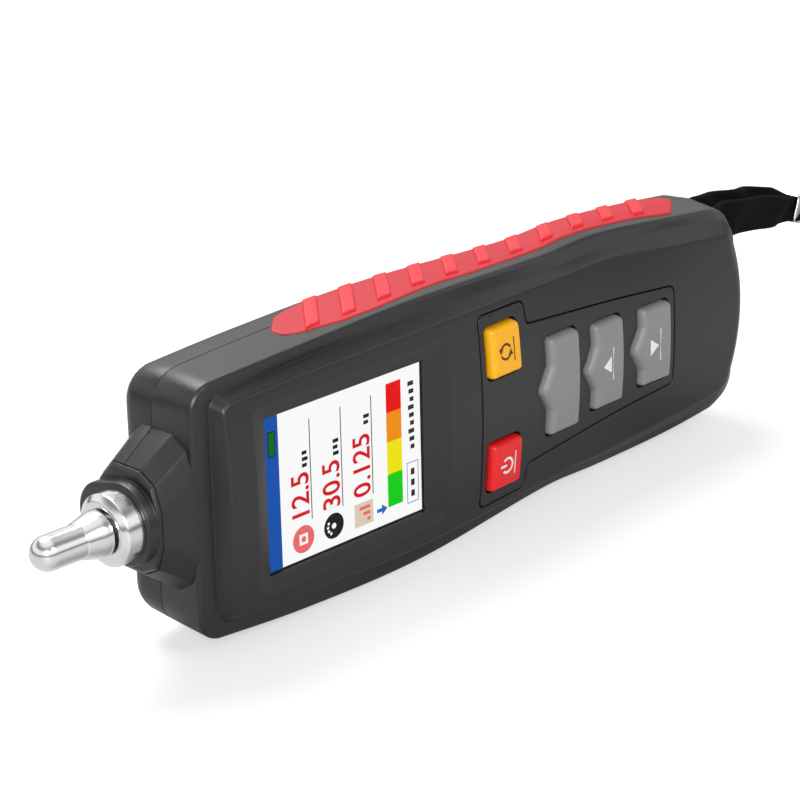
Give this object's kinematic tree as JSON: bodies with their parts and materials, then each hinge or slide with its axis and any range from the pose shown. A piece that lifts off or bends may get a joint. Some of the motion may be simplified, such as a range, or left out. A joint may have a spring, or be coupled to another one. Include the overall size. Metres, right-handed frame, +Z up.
{
  "type": "vibration meter",
  "caption": "Handheld pen-shaped vibration meter with a screen, sprung keys, soft grips, a metal probe, a battery bay and a wrist strap.",
  "frame": {"origin": "centre of the meter's box, on the surface that it stands on, without the strap", "axes": "+X along the meter from the probe towards the strap, +Y from the face to the back, +Z up across its width, as it stands on its long side"},
  "size_m": [0.3807, 0.054, 0.0674],
  "materials": {
    "front_abs": "moulded ABS, fine spark texture",
    "rear_abs": "moulded ABS, fine spark texture",
    "grip_tpe": "soft overmoulded TPE, satin",
    "panel_abs": "smooth moulded ABS",
    "key_orange": "moulded key, satin gloss",
    "key_red": "moulded key, satin gloss",
    "key_grey": "moulded key, satin",
    "pill": "conductive rubber",
    "membrane": "silicone rubber",
    "pcb": "glass epoxy with green solder mask",
    "chips": "moulded epoxy packages",
    "screw_steel": "zinc plated",
    "screw_black": "blackened steel",
    "lcd": "display glass",
    "lcd_holder": "white moulded holder",
    "flex": "polyimide film",
    "lens": "clear acrylic",
    "gasket": "black foam tape",
    "sensor_steel": "turned stainless steel, polished",
    "probe_steel": "turned and polished stainless steel",
    "seal": "nitrile rubber",
    "piezo": "fired piezo ceramic",
    "contact_brass": "stamped brass",
    "mass_steel": "turned steel",
    "lead": "PVC insulation",
    "cover_abs": "moulded ABS, fine spark texture",
    "cells": "plain sleeve",
    "spring_steel": "nickel plated spring wire",
    "contact_steel": "nickel plated sheet",
    "webbing": "woven nylon",
    "ferrule": "bright pressed aluminium"
  },
  "bodies": {
    "meter": {"front_shell": "front_abs", "rear_shell": "rear_abs", "grip_upper": "grip_tpe", "grip_lower": "grip_tpe", "keypad_panel": "panel_abs", "keypad_membrane": "membrane", "main_pcb": "pcb", "pcb_parts": "chips", "pcb_screws": "screw_steel", "case_screws": "screw_black", "lcd_panel": "lcd", "lcd_frame": "lcd_holder", "lcd_flex": "flex", "window_lens": "lens", "lens_gasket": "gasket", "sensor_housing": "sensor_steel", "probe_tip": "probe_steel", "sensor_seal": "seal", "piezo_discs": "piezo", "piezo_contact": "contact_brass", "seismic_mass": "mass_steel", "sensor_bolt": "screw_steel", "sensor_cap": "lcd_holder", "sensor_lead": "lead", "battery_cells": "cells", "battery_springs": "spring_steel", "battery_plates": "contact_steel", "strap_yoke": "webbing", "strap_ferrule": "ferrule", "wrist_loop": "webbing"},
    "key_enter": {"key_enter": "key_orange", "pill_enter": "pill"},
    "key_power": {"key_power": "key_red", "pill_power": "pill"},
    "key_measure": {"key_measure": "key_grey", "pill_measure": "pill"},
    "key_up": {"key_up": "key_grey", "pill_up": "pill"},
    "key_down": {"key_down": "key_grey", "pill_down": "pill"},
    "cover": {"battery_cover": "cover_abs"}
  },
  "joints": [
    {"name": "enter_press", "type": "slide", "parent": "meter", "child": "key_enter", "axis": [0, 1, 0], "range_m": [0, 0.0009], "stiffness_N_per_m": 400},
    {"name": "power_press", "type": "slide", "parent": "meter", "child": "key_power", "axis": [0, 1, 0], "range_m": [0, 0.0009], "stiffness_N_per_m": 400},
    {"name": "measure_press", "type": "slide", "parent": "meter", "child": "key_measure", "axis": [0, 1, 0], "range_m": [0, 0.0009], "stiffness_N_per_m": 400},
    {"name": "up_press", "type": "slide", "parent": "meter", "child": "key_up", "axis": [0, 1, 0], "range_m": [0, 0.0009], "stiffness_N_per_m": 400},
    {"name": "down_press", "type": "slide", "parent": "meter", "child": "key_down", "axis": [0, 1, 0], "range_m": [0, 0.0009], "stiffness_N_per_m": 400},
    {"name": "cover_hinge", "type": "hinge", "parent": "meter", "child": "cover", "pos_m": [0.03699, 0.01517, 0.03272], "axis": [0.0181, 0, 0.9998], "range_deg": [0, 60]}
  ]
}
